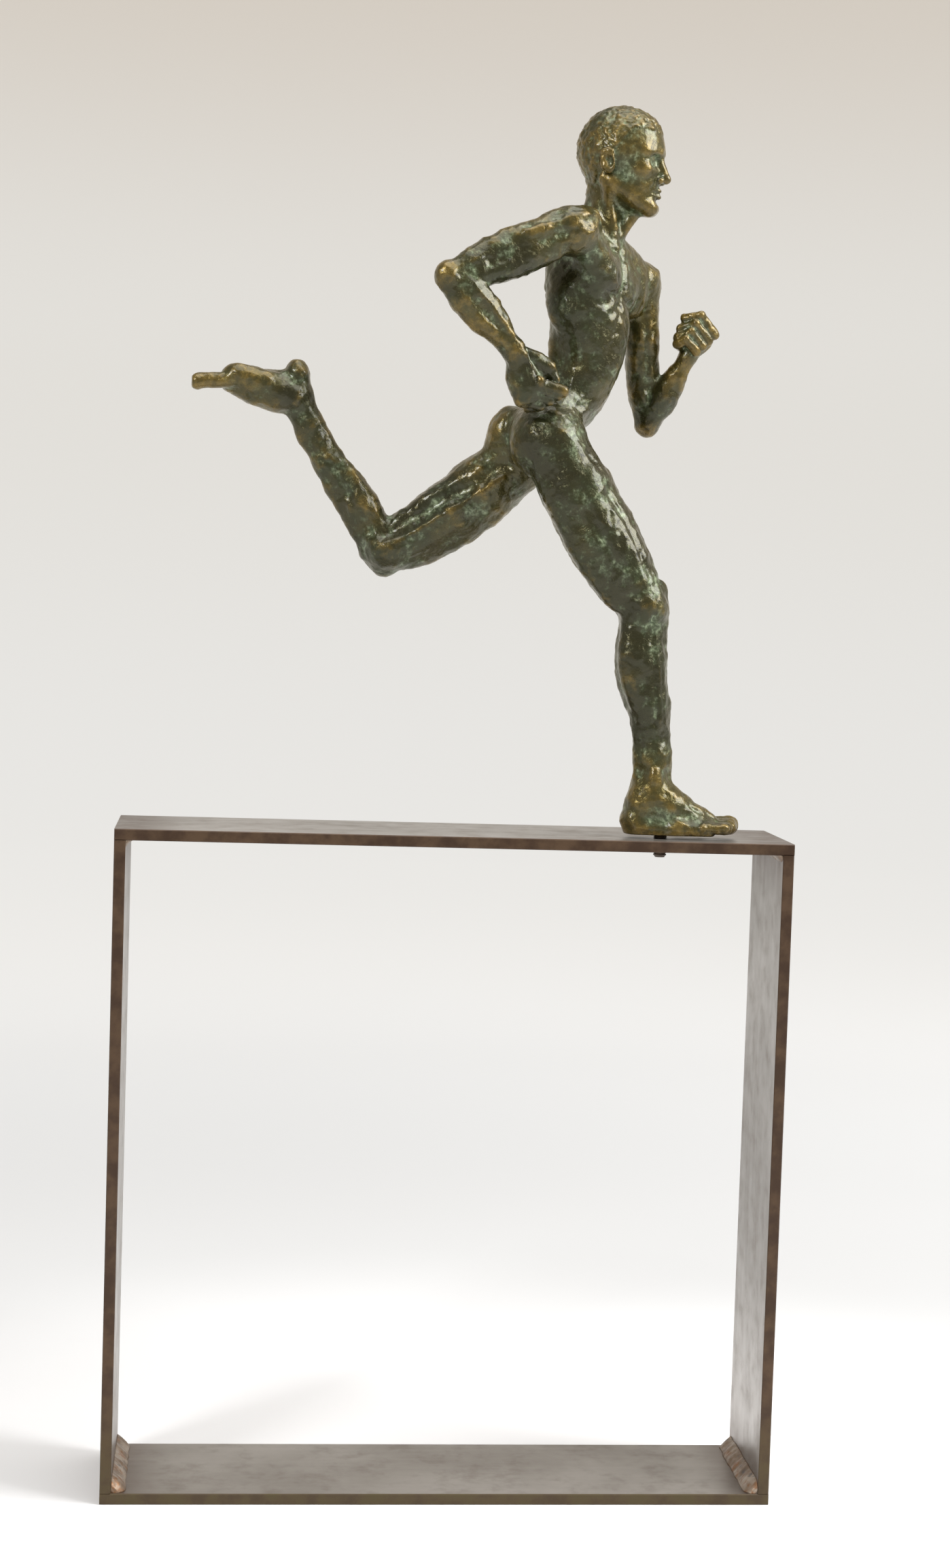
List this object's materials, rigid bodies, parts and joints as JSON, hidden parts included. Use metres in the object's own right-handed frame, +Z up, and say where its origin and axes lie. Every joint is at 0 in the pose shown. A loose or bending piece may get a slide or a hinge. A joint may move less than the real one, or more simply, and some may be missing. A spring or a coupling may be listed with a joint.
{
  "type": "figure trophy",
  "caption": "Cast bronze running athlete on one foot, held by a threaded stud on an open square plinth of welded flat steel bar.",
  "frame": {"origin": "middle of the bottom bar's underside, where the trophy rests", "axes": "+X the way the runner faces, +Y from the runner's right side to the left, +Z up"},
  "size_m": [0.3, 0.0878, 0.6255],
  "materials": {
    "bronze": "dark green-brown patina, waxed",
    "bronze_seam": "chased and patinated like the castings",
    "bar_steel": "satin mill steel with a brown lacquered patina",
    "weld_bead": "heat-tinted, brushed",
    "stud_steel": "dark oxide"
  },
  "bodies": {
    "root": {"torso": "bronze", "head": "bronze", "right_arm": "bronze", "left_arm": "bronze", "right_leg": "bronze", "left_leg": "bronze", "neck_weld": "bronze_seam", "right_shoulder_weld": "bronze_seam", "left_shoulder_weld": "bronze_seam", "right_hip_weld": "bronze_seam", "left_hip_weld": "bronze_seam", "top_bar": "bar_steel", "bottom_bar": "bar_steel", "left_bar": "bar_steel", "right_bar": "bar_steel", "upper_left_weld": "weld_bead", "upper_right_weld": "weld_bead", "lower_left_weld": "weld_bead", "lower_right_weld": "weld_bead", "stud": "stud_steel"}
  },
  "joints": []
}
